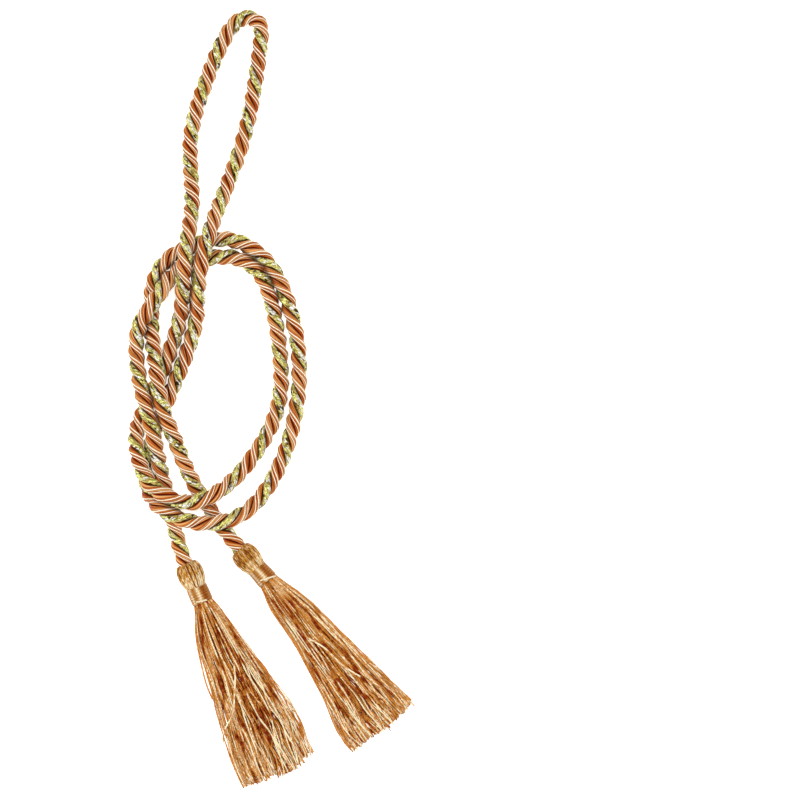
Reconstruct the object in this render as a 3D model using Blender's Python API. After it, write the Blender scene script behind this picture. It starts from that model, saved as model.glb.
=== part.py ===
"""Curtain tieback: a twisted three-ply rope wound into two rings and a hook loop, a tassel on each end.

The tieback lies on a surface at z = 0, its loop towards +Y and its tassels towards -Y.
"""

import math
import random

import bmesh
import bpy
import numpy as np

MM = 0.001                       # one millimetre in metres
CLEARANCE = 0.3 * MM             # between any two pieces

# ---- the rope ----
CORD_DIAMETER = 7.0 * MM
CORD_LAY = 19.4 * MM             # one full turn of the three plies
FIRST_CROWN = 14.5 * MM          # along the rope, where the first ply comes to the top
STEPS_PER_LAY = 7
LEAD = 4.0 * MM                  # the rope runs straight this far before it enters a head
PLY_CROWN_REACH = 0.98           # of the rope's radius, at the two points beside a ply's crown
PLY_CROWN_ANGLE = math.radians(23)
PLY_VALLEY_REACH = 0.66          # of the rope's radius, between two plies

# Route of the rope's centre: x mm, y mm, height in cord diameters (0.5 lies on the surface).
ROUTE = [
    # out of the left tassel's head, up over both legs of the loop and over the outer ring
    (-40.0, -63.5, 0.6),
    (-44.0, -47.5, 0.5),
    (-46.5, -35.0, 0.7),
    (-49.5, -20.0, 1.55),
    (-53.0, -7.5, 1.65),
    (-56.5, 6.0, 1.5),
    (-59.0, 22.5, 1.05),
    (-57.0, 34.5, 1.4),
    (-52.0, 42.0, 1.65),
    (-46.0, 49.5, 1.3),
    # first turn, inside: under both legs, round, and up over the right tassel's rope and the left one's
    (-39.0, 57.0, 0.5),
    (-26.0, 62.0, 0.5),
    (-13.0, 60.5, 0.5),
    (-5.0, 54.0, 0.5),
    (1.0, 42.0, 0.5),
    (5.0, 20.5, 0.5),
    (4.5, -0.5, 0.5),
    (-5.0, -22.0, 0.5),
    (-17.0, -36.5, 0.75),
    (-25.5, -42.5, 1.5),
    (-35.0, -45.0, 1.65),
    (-43.5, -43.0, 2),
    (-51.0, -37.5, 1.8),
    # first leg of the loop: down under the left tassel's rope and its own ring, over the upper crossings
    (-57.0, -25.0, 1.5),
    (-58.0, -13.5, 0.85),
    (-54.0, 0.0, 0.5),
    (-44.5, 20.5, 0.5),
    (-39.5, 38.5, 0.75),
    (-37.5, 51.5, 1.6),
    (-36.0, 68.0, 1.65),
    (-34.5, 85.5, 0.8),
    (-34.5, 115.5, 0.5),
    (-28.0, 138.5, 0.5),
    (-19.5, 158.5, 0.5),
    # top of the loop, which goes over the hook
    (-16.0, 164.0, 0.5),
    (-10.0, 167.0, 0.5),
    (-4.5, 164.0, 0.5),
    (-3.5, 157.5, 0.5),
    (-6.0, 139.5, 0.5),
    # second leg: over the upper crossings, then down under everything
    (-11.5, 114.5, 0.5),
    (-18.0, 96.0, 0.5),
    (-24.0, 79.5, 1.35),
    (-28.5, 64.5, 1.65),
    (-30.5, 50.5, 1.4),
    (-32.0, 35.5, 0.5),
    (-36.0, 20.5, 0.5),
    (-41.5, 4.0, 0.5),
    (-52.0, -20.5, 0.5),
    (-54.5, -32.0, 0.5),
    # second turn, outside the first: over the left tassel's rope and the right one's, round, under the legs
    (-52.0, -43.0, 0.95),
    (-46.0, -49.5, 1.6),
    (-34.5, -54.0, 1.6),
    (-21.0, -54.0, 1.62),
    (-9.0, -47.5, 0.8),
    (2.0, -32.5, 0.5),
    (10.5, -9.0, 0.5),
    (13.0, 18.0, 0.5),
    (8.5, 44.5, 0.5),
    (-2.5, 63.5, 0.5),
    (-19.0, 70.5, 0.5),
    (-33.0, 68.0, 0.5),
    (-46.5, 62.0, 0.5),
    # down over both legs, under both rings, to the right tassel's head
    (-51.5, 49.5, 0.5),
    (-52.0, 35.5, 0.5),
    (-51.5, 26.0, 0.85),
    (-49.5, 13.5, 1.55),
    (-46.5, -1.5, 1.68),
    (-41.5, -15.5, 1.3),
    (-33.0, -36.0, 0.5),
    (-23.5, -52.0, 0.5),
    (-18.6, -60.0, 0.66),
]

# ---- a tassel, along its own +X from the mouth of its head ----
POCKET_RADIUS = CORD_DIAMETER / 2 + CLEARANCE
POCKET_DEPTH = 3.0 * MM
RIM_CHAMFER = 0.3 * MM
HEAD_HEIGHT = 5.6 * MM           # of the head's axis above the surface
NECK_START = 11.2 * MM
NECK_END = 19.0 * MM
NECK_RADIUS = 3.5 * MM
BINDING_THICKNESS = 0.8 * MM
BINDING_CROWN = 0.25 * MM        # the binding is this much thinner at its edges
SIDES = 24                       # points round a section

# Outline of the head, yarns folded over lengthwise: distance along, radius, half the height of
# its ribs, all in mm.
HEAD = [
    (0.0, 4.5, 0.10),
    (1.2, 5.2, 0.15),
    (3.0, 5.7, 0.15),
    (5.6, 5.75, 0.15),
    (8.4, 5.3, 0.15),
    (10.8, 4.4, 0.10),
]

# Lying outline of the skirt: distance past the neck's end, reach to its -Y, reach to its +Y, half
# its thickness, height of its middle, all in mm.
SKIRTS = {
    "left": [
        (0.4, 4.3, 4.6, 4.2, 5.2),
        (10.0, 8.2, 6.8, 4.5, 4.5),
        (20.0, 10.7, 9.1, 4.3, 4.3),
        (33.0, 11.4, 12.8, 4.0, 4.0),
        (47.5, 13.2, 16.2, 3.7, 3.7),
        (61.0, 15.0, 18.7, 3.4, 3.4),
        (72.0, 15.8, 19.0, 3.2, 3.2),
        (84.0, 14.7, 18.9, 3.0, 3.0),
    ],
    "right": [
        (0.4, 4.1, 3.9, 4.0, 5.2),
        (10.0, 6.7, 6.6, 4.4, 4.4),
        (20.0, 8.1, 9.5, 4.3, 4.3),
        (33.0, 9.1, 11.2, 4.0, 4.0),
        (47.5, 10.8, 12.5, 3.7, 3.7),
        (61.0, 12.8, 14.5, 3.4, 3.4),
        (72.0, 15.7, 16.6, 3.2, 3.2),
        (84.0, 15.0, 17.1, 3.0, 3.0),
    ],
}
SKIRT_ROOT = 7.0 * MM            # the yarns are one bundle up to here
SKIRT_LENGTH = 82.7 * MM
SKIRT_RAGGED = 4.0 * MM          # the strands end within this of one another
STRAND_RINGS = 4                 # rings of strands round the middle: 6 * 4 * 4 = 96 strands
STRAND_STATIONS = 4              # straight lengths in a strand
STRAND_GAP = 0.022               # half the gap between strands, of the bundle's radius
STRAND_DRIFT = 0.010             # how far a strand wanders, of the bundle's radius
STRAND_SPREAD = 1.01             # the strands fill the outline again past their roots
STRAND_SEEDS = {"left": 4, "right": 9}
BUNDLE_ROWS = (0.4 * MM, 3.0 * MM, SKIRT_ROOT)
FLAT_SIDE_POWER = 3.2            # above 2 squares off the underside, which lies on the surface

# Where each tassel's neck ends, x mm and y mm, and the ways its skirt and its head point, in
# degrees from +X, anticlockwise.
TASSELS = {
    "left": (-29.1, -89.6, -67.1, -66.4),
    "right": (-0.5, -80.0, -52.9, -47.7),
}

SATIN = (0.60, 0.25, 0.07, 1.0)
YARN = (0.62, 0.36, 0.14, 1.0)
THREAD = (0.55, 0.33, 0.13, 1.0)


def clear_scene():
    for item in list(bpy.data.objects):
        bpy.data.objects.remove(item, do_unlink=True)


def finish(bm, name, colour, roughness, location=(0.0, 0.0), turn=0.0):
    """Makes the object from its bmesh, shaded smooth, in its own material."""
    bmesh.ops.recalc_face_normals(bm, faces=bm.faces)
    mesh = bpy.data.meshes.new(name)
    bm.to_mesh(mesh)
    bm.free()
    mesh.shade_smooth()
    mesh.set_sharp_from_angle(angle=math.radians(50))
    material = bpy.data.materials.new(name)
    material.use_nodes = True
    shader = material.node_tree.nodes["Principled BSDF"]
    shader.inputs["Base Color"].default_value = colour
    shader.inputs["Roughness"].default_value = roughness
    shader.inputs["Metallic"].default_value = 0.0
    mesh.materials.append(material)
    piece = bpy.data.objects.new(name, mesh)
    piece.location = (location[0], location[1], 0.0)
    piece.rotation_euler = (0.0, 0.0, turn)
    bpy.context.scene.collection.objects.link(piece)
    return piece


def join_rings(bm, ring, after):
    for i in range(len(ring)):
        j = (i + 1) % len(ring)
        bm.faces.new((ring[i], ring[j], after[j], after[i]))


def add_rings(bm, rings, closed=False):
    """Adds each ring's points and joins every ring to the next with quads."""
    made = [[bm.verts.new(point) for point in ring] for ring in rings]
    following = made[1:] + made[:1] if closed else made[1:]
    for ring, after in zip(made, following):
        join_rings(bm, ring, after)
    return made


# ---------------------------------------------------------------- the rope

def neck_frame(side):
    """Where the neck ends, in metres, and the head's direction as a unit vector."""
    x, y, _, head_turn = TASSELS[side]
    angle = math.radians(head_turn)
    return np.array([x * MM, y * MM]), np.array([math.cos(angle), math.sin(angle)])


def on_head_axis(side, inside):
    """A point on the head's axis, this far inside its mouth."""
    neck, along = neck_frame(side)
    x, y = neck - along * (NECK_END - inside)
    return (x, y, HEAD_HEIGHT)


def route_points():
    """The rope's route in metres, with both ends led straight into the heads' pockets."""
    laid = [(x * MM, y * MM, height * CORD_DIAMETER) for x, y, height in ROUTE]
    end = POCKET_DEPTH - CLEARANCE
    start_lead = [on_head_axis("left", end), on_head_axis("left", -LEAD)]
    end_lead = [on_head_axis("right", -LEAD), on_head_axis("right", end)]
    return np.array(start_lead + laid + end_lead)


def smooth_curve(points, spacing):
    """Even points on the natural cubic spline through the given ones, by distance along."""
    gaps = np.linalg.norm(np.diff(points, axis=0), axis=1)
    knots = np.concatenate([[0.0], np.cumsum(gaps)])
    count = len(knots)
    system = np.eye(count)
    right = np.zeros_like(points)
    for i in range(1, count - 1):
        system[i, i - 1:i + 2] = gaps[i - 1], 2 * (gaps[i - 1] + gaps[i]), gaps[i]
        slope_after = (points[i + 1] - points[i]) / gaps[i]
        slope_before = (points[i] - points[i - 1]) / gaps[i - 1]
        right[i] = 6 * (slope_after - slope_before)
    bends = np.linalg.solve(system, right)

    at = np.linspace(0.0, knots[-1], 12000)
    k = np.clip(np.searchsorted(knots, at, side="right") - 1, 0, count - 2)
    gap = gaps[k][:, None]
    b = (at - knots[k])[:, None] / gap
    a = 1 - b
    curve = a * points[k] + b * points[k + 1]
    curve += ((a ** 3 - a) * bends[k] + (b ** 3 - b) * bends[k + 1]) * gap ** 2 / 6

    walked = np.linalg.norm(np.diff(curve, axis=0), axis=1)
    length = np.concatenate([[0.0], np.cumsum(walked)])
    wanted = np.linspace(0.0, length[-1], round(length[-1] / spacing) + 1)
    return np.stack([np.interp(wanted, length, curve[:, axis]) for axis in range(3)], axis=1)


def rope_section():
    """The three-lobed section: angle and reach of two points on each ply and one in each valley."""
    section = []
    for ply in range(3):
        crown = ply * math.tau / 3
        section.append((crown - PLY_CROWN_ANGLE, PLY_CROWN_REACH))
        section.append((crown + PLY_CROWN_ANGLE, PLY_CROWN_REACH))
        section.append((crown + math.pi / 3, PLY_VALLEY_REACH))
    return section


def make_rope():
    """Carries the section along the route, turning it left-handed once in each lay."""
    step = CORD_LAY / STEPS_PER_LAY
    path = smooth_curve(route_points(), step)
    tangents = np.gradient(path, axis=0)
    tangents /= np.linalg.norm(tangents, axis=1)[:, None]
    sides = np.cross(tangents, (0.0, 0.0, 1.0))
    sides /= np.linalg.norm(sides, axis=1)[:, None]
    ups = np.cross(sides, tangents)
    angles, reaches = np.array(rope_section()).T

    rings = []
    for i, centre in enumerate(path):
        turned = angles + math.tau * (FIRST_CROWN / CORD_LAY - i / STEPS_PER_LAY)
        radius = reaches * CORD_DIAMETER / 2
        ring = centre + np.outer(radius * np.cos(turned), ups[i])
        ring += np.outer(radius * np.sin(turned), sides[i])
        ring[:, 2] = np.maximum(ring[:, 2], 0.0)
        rings.append(ring)

    bm = bmesh.new()
    made = add_rings(bm, rings)
    bm.faces.new(made[0])
    bm.faces.new(made[-1])
    return finish(bm, "cord", SATIN, 0.45)


# ---------------------------------------------------------------- the tassels

def skirt_section(side, along):
    """Reach to -Y, reach to +Y, half thickness and middle height this far past the neck's end."""
    rows = np.array(SKIRTS[side]) * MM
    return [np.interp(along, rows[:, 0], rows[:, column]) for column in range(1, 5)]


def lay_point(side, u, v, along):
    """Maps a point of the round bundle, u across and v up within 1, onto the lying skirt."""
    minus_reach, plus_reach, thickness, middle = skirt_section(side, along)
    reach = math.hypot(u, v)
    if reach > 0 and v < 0:
        squared = (abs(u) ** FLAT_SIDE_POWER + abs(v) ** FLAT_SIDE_POWER) ** (1 / FLAT_SIDE_POWER)
        blend = min(1.0, along / SKIRT_ROOT)
        scale = 1 + blend * (reach / squared - 1)
        u, v = u * scale, v * scale
    across = u * (plus_reach if u > 0 else minus_reach)
    return (along, across, middle + v * thickness)


def add_head(bm, head_turn):
    """The pocket for the rope, its rim, the ribbed head and the neck, as rings round the axis."""
    rows = [(POCKET_DEPTH, POCKET_RADIUS, 0.0), (RIM_CHAMFER, POCKET_RADIUS, 0.0)]
    rows += [(along * MM, radius * MM, rib * MM) for along, radius, rib in HEAD]
    rows += [(NECK_START, NECK_RADIUS, 0.0), (NECK_END - CLEARANCE, NECK_RADIUS, 0.0)]
    c, s = math.cos(head_turn), math.sin(head_turn)
    rings = []
    for along, radius, rib in rows:
        ring = []
        for i in range(SIDES):
            angle = i * math.tau / SIDES
            reach = radius + (rib if i % 2 else -rib)
            x, y = along - NECK_END, reach * math.cos(angle)
            z = max(0.0, HEAD_HEIGHT + reach * math.sin(angle))
            ring.append((x * c - y * s, x * s + y * c, z))
        rings.append(ring)
    made = add_rings(bm, rings)
    bm.faces.new(made[0])
    return made[-1]


def fill_with_cells(bm, rim, along):
    """Fills the rim with rings of triangles, 6 in the middle one and 12 more in each one outside."""
    rings = [[bm.verts.new((0.0, 0.0, along))]]
    for j in range(1, STRAND_RINGS):
        angles = [i * math.tau / (6 * j) for i in range(6 * j)]
        reach = j / STRAND_RINGS
        rings.append([bm.verts.new((reach * math.cos(a), reach * math.sin(a), along)) for a in angles])
    rings.append(rim)
    cells = []
    for j in range(1, STRAND_RINGS + 1):
        inner, outer = rings[j - 1], rings[j]
        for sextant in range(6):
            for i in range(j):
                start = outer[sextant * j + i]
                end = outer[(sextant * j + i + 1) % len(outer)]
                point = inner[(sextant * (j - 1) + i) % len(inner)]
                cells.append(bm.faces.new((start, end, point)))
                if i < j - 1:
                    after = inner[(sextant * (j - 1) + i + 1) % len(inner)]
                    cells.append(bm.faces.new((end, after, point)))
    return cells


def grow_strands(bm, cells, rng):
    """Draws each cell in by half a gap and extrudes it into a strand with its own length and drift."""
    bm.normal_update()
    bmesh.ops.inset_individual(bm, faces=cells, thickness=STRAND_GAP, use_even_offset=True)
    number = bm.faces.layers.int["strand"]
    ends = []
    drifts = []
    for i, cell in enumerate(cells):
        cell[number] = i
        ends.append(SKIRT_LENGTH - rng.uniform(0.0, SKIRT_RAGGED))
        drifts.append((rng.uniform(-STRAND_DRIFT, STRAND_DRIFT), rng.uniform(-STRAND_DRIFT, STRAND_DRIFT)))
    for station in range(1, STRAND_STATIONS + 1):
        part = station / STRAND_STATIONS
        cells = bmesh.ops.extrude_discrete_faces(bm, faces=cells)["faces"]
        for cell in cells:
            end = ends[cell[number]]
            drift = drifts[cell[number]]
            for vert in cell.verts:
                if station == 1:
                    vert.co.x *= STRAND_SPREAD
                    vert.co.y *= STRAND_SPREAD
                vert.co.x += drift[0] / STRAND_STATIONS
                vert.co.y += drift[1] / STRAND_STATIONS
                vert.co.z = SKIRT_ROOT + (end - SKIRT_ROOT) * part


def make_tassel(side):
    """Head, neck and gathered bundle in one, with the strands standing on the bundle's end."""
    x, y, skirt_angle, head_angle = TASSELS[side]
    bm = bmesh.new()
    bm.faces.layers.int.new("strand")
    neck_ring = add_head(bm, math.radians(head_angle - skirt_angle))
    head_verts = set(bm.verts)

    # The bundle and its strands are made round, then laid down on the surface.
    circle = [(math.cos(i * math.tau / SIDES), math.sin(i * math.tau / SIDES)) for i in range(SIDES)]
    bundle = add_rings(bm, [[(u, v, along) for u, v in circle] for along in BUNDLE_ROWS])
    join_rings(bm, neck_ring, bundle[0])
    cells = fill_with_cells(bm, bundle[-1], SKIRT_ROOT)
    grow_strands(bm, cells, random.Random(STRAND_SEEDS[side]))
    for vert in bm.verts:
        if vert not in head_verts:
            vert.co = lay_point(side, *vert.co)
    return finish(bm, f"tassel_{side}", YARN, 0.55, (x * MM, y * MM), math.radians(skirt_angle))


def make_binding(side):
    """Thread wound round the neck: a closed ring with a slightly crowned outside."""
    x, y, _, head_angle = TASSELS[side]
    inside = NECK_RADIUS + CLEARANCE
    start = NECK_START + CLEARANCE - NECK_END
    end = -CLEARANCE
    outside = inside + BINDING_THICKNESS
    quarter = (end - start) / 4
    profile = [
        (start, inside),
        (end, inside),
        (end, outside - BINDING_CROWN),
        (end - quarter, outside),
        (start + quarter, outside),
        (start, outside - BINDING_CROWN),
    ]
    rings = []
    for along, radius in profile:
        angles = [i * math.tau / SIDES for i in range(SIDES)]
        rings.append([(along, radius * math.cos(a), HEAD_HEIGHT + radius * math.sin(a)) for a in angles])
    bm = bmesh.new()
    add_rings(bm, rings, closed=True)
    return finish(bm, f"binding_{side}", THREAD, 0.5, (x * MM, y * MM), math.radians(head_angle))


clear_scene()
make_rope()
for tassel_side in TASSELS:
    make_tassel(tassel_side)
    make_binding(tassel_side)
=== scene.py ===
import math

import bpy
import numpy as np
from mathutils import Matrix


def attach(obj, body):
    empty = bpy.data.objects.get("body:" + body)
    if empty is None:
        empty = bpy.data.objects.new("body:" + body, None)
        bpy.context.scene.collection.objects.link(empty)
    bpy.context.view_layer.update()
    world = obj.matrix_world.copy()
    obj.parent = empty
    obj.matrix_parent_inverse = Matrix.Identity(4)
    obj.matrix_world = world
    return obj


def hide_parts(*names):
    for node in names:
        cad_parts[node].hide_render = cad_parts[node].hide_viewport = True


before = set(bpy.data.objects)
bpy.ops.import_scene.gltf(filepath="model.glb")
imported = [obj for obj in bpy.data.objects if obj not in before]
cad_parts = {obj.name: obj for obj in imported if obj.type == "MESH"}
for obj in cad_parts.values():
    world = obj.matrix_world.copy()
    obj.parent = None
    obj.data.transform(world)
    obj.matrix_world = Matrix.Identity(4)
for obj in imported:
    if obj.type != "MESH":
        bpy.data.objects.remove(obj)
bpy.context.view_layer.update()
tau = math.tau
mm = 0.001

camera = {
    "centre": (0.05748, -0.00044), "height": 1.5,
    "middle": 0.005,  # height of the rope's middle, where the view is as wide as `seen`
    "seen": 0.352, "sensor": 36, "farthest": 20,
}
studio = {
    "floor": (0.93, 0.93, 0.93), "floorGlow": 0.8, "room": 0.12, "floorHalf": 4.0,
    "floorDrop": 0.0002,  # the floor lies this far under the object, so that the two don't share a face
}
# each lamp points at the middle: where it stands, its size and its watts
lamps = {
    "overhead": {"at": (-0.3, 0.35, 1.8), "size": 0.55, "watts": 22.0},
    "nearRight": {"at": (0.55, -0.5, 1.15), "size": 0.16, "watts": 7.0},
    "leftStrip": {"at": (-0.9, -0.1, 0.5), "size": 0.3, "watts": 3.5},
    "rightStrip": {"at": (0.95, 0.1, 0.6), "size": 0.45, "watts": 2.0},
}


def aimed(thing, at, target):
    # turns a camera or lamp so that its own -Z points from one place to the other
    away = np.array(at, float) - np.array(target, float)
    thing.location = at
    flat = math.hypot(away[0], away[1])
    heading = math.atan2(away[0], -away[1]) if flat > 1e-6 else 0
    thing.rotation_euler = (math.atan2(flat, away[2]), 0, heading)
    bpy.context.scene.collection.objects.link(thing)
    return thing


def setCamera():
    # straight down; the lens is as long as shows the wanted width at the height of the rope's middle
    lens = bpy.data.cameras.new("camera")
    lens.sensor_width = camera["sensor"]
    lens.lens = camera["sensor"] * (camera["height"] - camera["middle"]) / camera["seen"]
    lens.clip_end = camera["farthest"]
    x, y = camera["centre"]
    bpy.context.scene.camera = aimed(bpy.data.objects.new("camera", lens), (x, y, camera["height"]), (x, y, 0))


def setStudio():
    # a pale room, soft lamps, and a white floor that glows a little, so that it stays white
    scene = bpy.context.scene
    scene.view_settings.view_transform = "Standard"
    world = bpy.data.worlds.new("room")
    scene.world = world
    world.use_nodes = True
    sky = world.node_tree.nodes["Background"].inputs
    sky["Color"].default_value = (1, 1, 1, 1)
    sky["Strength"].default_value = studio["room"]
    for name, lamp in lamps.items():
        light = bpy.data.lights.new(name, "AREA")
        light.size = lamp["size"]
        light.energy = lamp["watts"]
        aimed(bpy.data.objects.new(name, light), lamp["at"], (0, 0, 0))
    half, drop = studio["floorHalf"], -studio["floorDrop"]
    mesh = bpy.data.meshes.new("floor")
    corners = [(-half, -half, drop), (half, -half, drop), (half, half, drop), (-half, half, drop)]
    mesh.from_pydata(corners, [], [(0, 1, 2, 3)])
    paper = bpy.data.materials.new("floorPaper")
    paper.use_nodes = True
    shader = paper.node_tree.nodes["Principled BSDF"].inputs
    shader["Base Color"].default_value = (*studio["floor"], 1)
    shader["Roughness"].default_value = 0.95
    shader["Specular IOR Level"].default_value = 0.1
    shader["Emission Color"].default_value = (1, 1, 1, 1)
    shader["Emission Strength"].default_value = studio["floorGlow"]
    mesh.materials.append(paper)
    floor = bpy.data.objects.new("floor", mesh)
    scene.collection.objects.link(floor)


setCamera()
setStudio()
print("studio set")


class Wire:
    # one output of a node; the operators on it add Math nodes behind it
    def __init__(self, finish, socket):
        self.finish, self.socket = finish, socket

    def sum(self, operation, *values):
        return self.finish.add("ShaderNodeMath", {"operation": operation}, dict(enumerate(values)))

    def __add__(self, other):
        return self.sum("ADD", self, other)

    def __sub__(self, other):
        return self.sum("SUBTRACT", self, other)

    def __rsub__(self, other):
        return self.sum("SUBTRACT", other, self)

    def __mul__(self, other):
        return self.sum("MULTIPLY", self, other)

    __radd__ = __add__
    __rmul__ = __mul__

    def sine(self):
        return self.sum("SINE", self)

    def cosine(self):
        return self.sum("COSINE", self)

    def between(self, low, high):
        # 0 up to low, 1 from high, and an S-curve from one to the other
        values = {"Value": self, "From Min": low, "From Max": high}
        return self.finish.add("ShaderNodeMapRange", {"interpolation_type": "SMOOTHSTEP"}, values)

    def share(self, low, high, most):
        # the same, up to the most instead of 1
        return self.between(low, high) * most


class Finish:
    # a material being made; add() makes any node and gives one of its outputs
    def __init__(self, name, settings):
        self.material = bpy.data.materials.new(name)
        self.material.use_nodes = True
        self.tree = self.material.node_tree
        self.shader = self.tree.nodes["Principled BSDF"]
        self.shader.inputs["Roughness"].default_value = settings["roughness"]
        self.shader.inputs["Specular IOR Level"].default_value = settings["specular"]

    def put(self, value, socket):
        # a wire is linked to the socket, and a number or a colour is set in it
        if isinstance(value, Wire):
            self.tree.links.new(value.socket, socket)
        else:
            socket.default_value = (*value, 1) if socket.type == "RGBA" else value

    def add(self, kind, settings=None, inputs=None, output=0):
        node = self.tree.nodes.new(kind)
        for name, value in (settings or {}).items():
            setattr(node, name, value)
        for name, value in (inputs or {}).items():
            self.put(value, node.inputs[name])
        return Wire(self, node.outputs[output])

    def feed(self, socket, value):
        self.put(value, self.shader.inputs[socket])

    def mixed(self, amount, first, second):
        # the first colour where the amount is 0, the second where it is 1
        values = {0: amount, 6: first, 7: second}
        return self.add("ShaderNodeMix", {"data_type": "RGBA"}, values, output=2)

    def yarnMap(self):
        # how far round the yarn, 0 to 1, and how far along it, in metres
        place = self.add("ShaderNodeUVMap", {"uv_map": "yarn"})
        around = self.add("ShaderNodeSeparateXYZ", None, {"Vector": place}, 0)
        return around, self.add("ShaderNodeSeparateXYZ", None, {"Vector": place}, 1)

    def painted(self, name):
        # a value that makePiece stored at every point
        return self.add("ShaderNodeAttribute", {"attribute_name": name}, None, "Fac")

    def wrapped(self, around, along, fine, stretch):
        # a place on a circle round the yarn, where noise meets itself, drawn out along the yarn
        angle = around * tau
        values = {"X": angle.cosine() * fine, "Y": angle.sine() * fine, "Z": along * stretch}
        return self.add("ShaderNodeCombineXYZ", None, values)

    def fibres(self, *places):
        # noise wrapped round the yarn
        noise = {"Vector": self.wrapped(*places), "Scale": 1.0, "Detail": 2.0}
        return self.add("ShaderNodeTexNoise", None, noise)

    def vector(self, operation, inputs):
        # a sum, difference, multiple or unit vector
        return self.add("ShaderNodeVectorMath", {"operation": operation}, inputs)

    def raised(self, height, distance, strength, normal=None):
        # relief: the height from 0 to 1 stands for this distance in metres
        values = {"Height": height, "Distance": distance, "Strength": strength}
        if normal:
            values["Normal"] = normal
        self.feed("Normal", self.add("ShaderNodeBump", None, values))


satin = {
    "lit": (0.51, 0.152, 0.021), "deepShade": (0.12, 0.004, 0.0005), "edge": (0.31, 0.041, 0.003),
    "pale": (0.82, 0.44, 0.17), "tucked": (0.10, 0.018, 0.004), "roughness": 0.34, "specular": 0.08,
    # painted shade: how high on the ply each colour gives way to the next, darker down the flanks and darkest in
    # the grooves: 1 on its crown, -1 against the rope's middle
    "shadedFlank": (-0.7, -0.38), "top": (-0.42, 0.04), "groove": (-0.44, -0.12),
    # filaments: how many go round the ply, and how short they are along it
    "thread": (3.4, 60.0), "broad": (2.0, 45.0), "broadStart": 3.7,
    # where the filaments' noise turns them pale or dark: from, to, and how strongly
    "broadPale": (0.48, 0.62, 0.75), "threadPale": (0.56, 0.65, 0.8),
    "threadMiddle": 0.49, "threadDark": (0.0, 0.07, 0.9),  # dark from the middle down
    # painted shade: how far the satin darkens beside a highlight yarn, and where it lies against another turn
    "besideShare": 0.8, "tuckedShare": 0.85,
    "relief": 0.0004, "reliefStrength": 0.9, "broadRelief": 0.5,
}


def satinFinish():
    # glossy filaments that run with the ply, with painted shade: dark red down in the grooves between the plies,
    # beside the highlight yarns and against other turns
    finish = Finish("ropeSatin", satin)
    around, along = finish.yarnMap()
    crown = finish.painted("crown")
    thread = finish.fibres(around, along, *satin["thread"])
    broad = finish.fibres(around, along + satin["broadStart"], *satin["broad"])
    beside = finish.painted("beside")
    # painted shade: the ply darkens from its crown down its flanks into the grooves
    body = finish.mixed(crown.between(*satin["shadedFlank"]), satin["deepShade"], satin["edge"])
    body = finish.mixed(crown.between(*satin["top"]), body, satin["lit"])
    body = finish.mixed(broad.share(*satin["broadPale"]), body, satin["pale"])
    body = finish.mixed((satin["threadMiddle"] - thread).share(*satin["threadDark"]), body, satin["edge"])
    body = finish.mixed(thread.share(*satin["threadPale"]), body, satin["pale"])
    body = finish.mixed(crown.between(*satin["groove"]), satin["deepShade"], body)
    # painted shade: the satin darkens beside a highlight yarn, where it sinks under it
    body = finish.mixed(beside * satin["besideShare"], body, satin["edge"])
    # painted shade where the rope lies against another of its turns
    tucked = finish.painted("tucked") * satin["tuckedShare"]
    finish.feed("Base Color", finish.mixed(tucked, body, satin["tucked"]))
    finish.raised(thread + broad * satin["broadRelief"] - beside, satin["relief"], satin["reliefStrength"])
    return finish.material


# painted highlight: pale yarns that stand for the satin's highlights
highlightYarn = {
    "shadow": (0.93, 0.72, 0.45), "light": (1.0, 0.96, 0.78), "tucked": (0.22, 0.07, 0.02),
    "roughness": 0.38, "specular": 0.2, "thread": (2.5, 150.0), "lightFrom": (0.3, 0.62), "tuckedShare": 0.8,
    "strands": 3, "winding": 2600,  # strands in a yarn, and radians that they wind in a metre
    "relief": 0.00006, "reliefStrength": 0.7, "strandRelief": 0.3,
}


def highlightYarnFinish():
    # painted highlight: a pale yarn that stands in for the satin's highlight, of a few strands wound together: the
    # sine of the way round plus the way along
    finish = Finish("ropeHighlightYarn", highlightYarn)
    around, along = finish.yarnMap()
    thread = finish.fibres(around, along, *highlightYarn["thread"])
    body = finish.mixed(thread.between(*highlightYarn["lightFrom"]), highlightYarn["shadow"], highlightYarn["light"])
    # painted shade where the rope lies against another of its turns
    tucked = finish.painted("tucked") * highlightYarn["tuckedShare"]
    finish.feed("Base Color", finish.mixed(tucked, body, highlightYarn["tucked"]))
    strand = (around * (tau * highlightYarn["strands"]) + along * highlightYarn["winding"]).sine()
    finish.raised(thread + strand * highlightYarn["strandRelief"], highlightYarn["relief"], highlightYarn["reliefStrength"])
    return finish.material


gold = {
    "foil": (0.97, 0.93, 0.28), "olive": (0.44, 0.35, 0.030), "dark": (0.055, 0.024, 0.004),
    "warm": (0.62, 0.40, 0.10), "glint": (1.0, 0.98, 0.88), "roughness": 0.3, "specular": 0.25,
    "cell": 0.00100,  # size of one crumpled facet across the ply
    "squeezed": 0.8, "wander": 0.9, "plyRadius": 0.0017,
    # where a facet's own chance turns it olive, foil, warm or a painted white glint, the last sooner where it
    # faces the front-right lamp
    "oliveFrom": (0.06, 0.20), "foilFrom": (0.18, 0.36), "warmShare": (0.74, 0.84, 0.7),
    "glintFrom": (0.88, 0.93), "facingGlint": 0.36,
    # dark seams between facets, and painted shade down the flanks and against other turns
    "seam": (0.0, 0.10), "shadedFlank": (-0.55, 0.2), "tuckedShare": 0.85,
    "metallic": (0.2, 0.4, 0.12), "rough": (0.40, 0.22),  # the foil's roughness, and how far chance lowers it
    "leaning": (0.9, 0.7),  # how far a facet tilts, and how much less where it glints
    "creaseFrom": (0.0, 0.3), "crease": 0.00025, "creaseStrength": 0.9,
}


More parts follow.
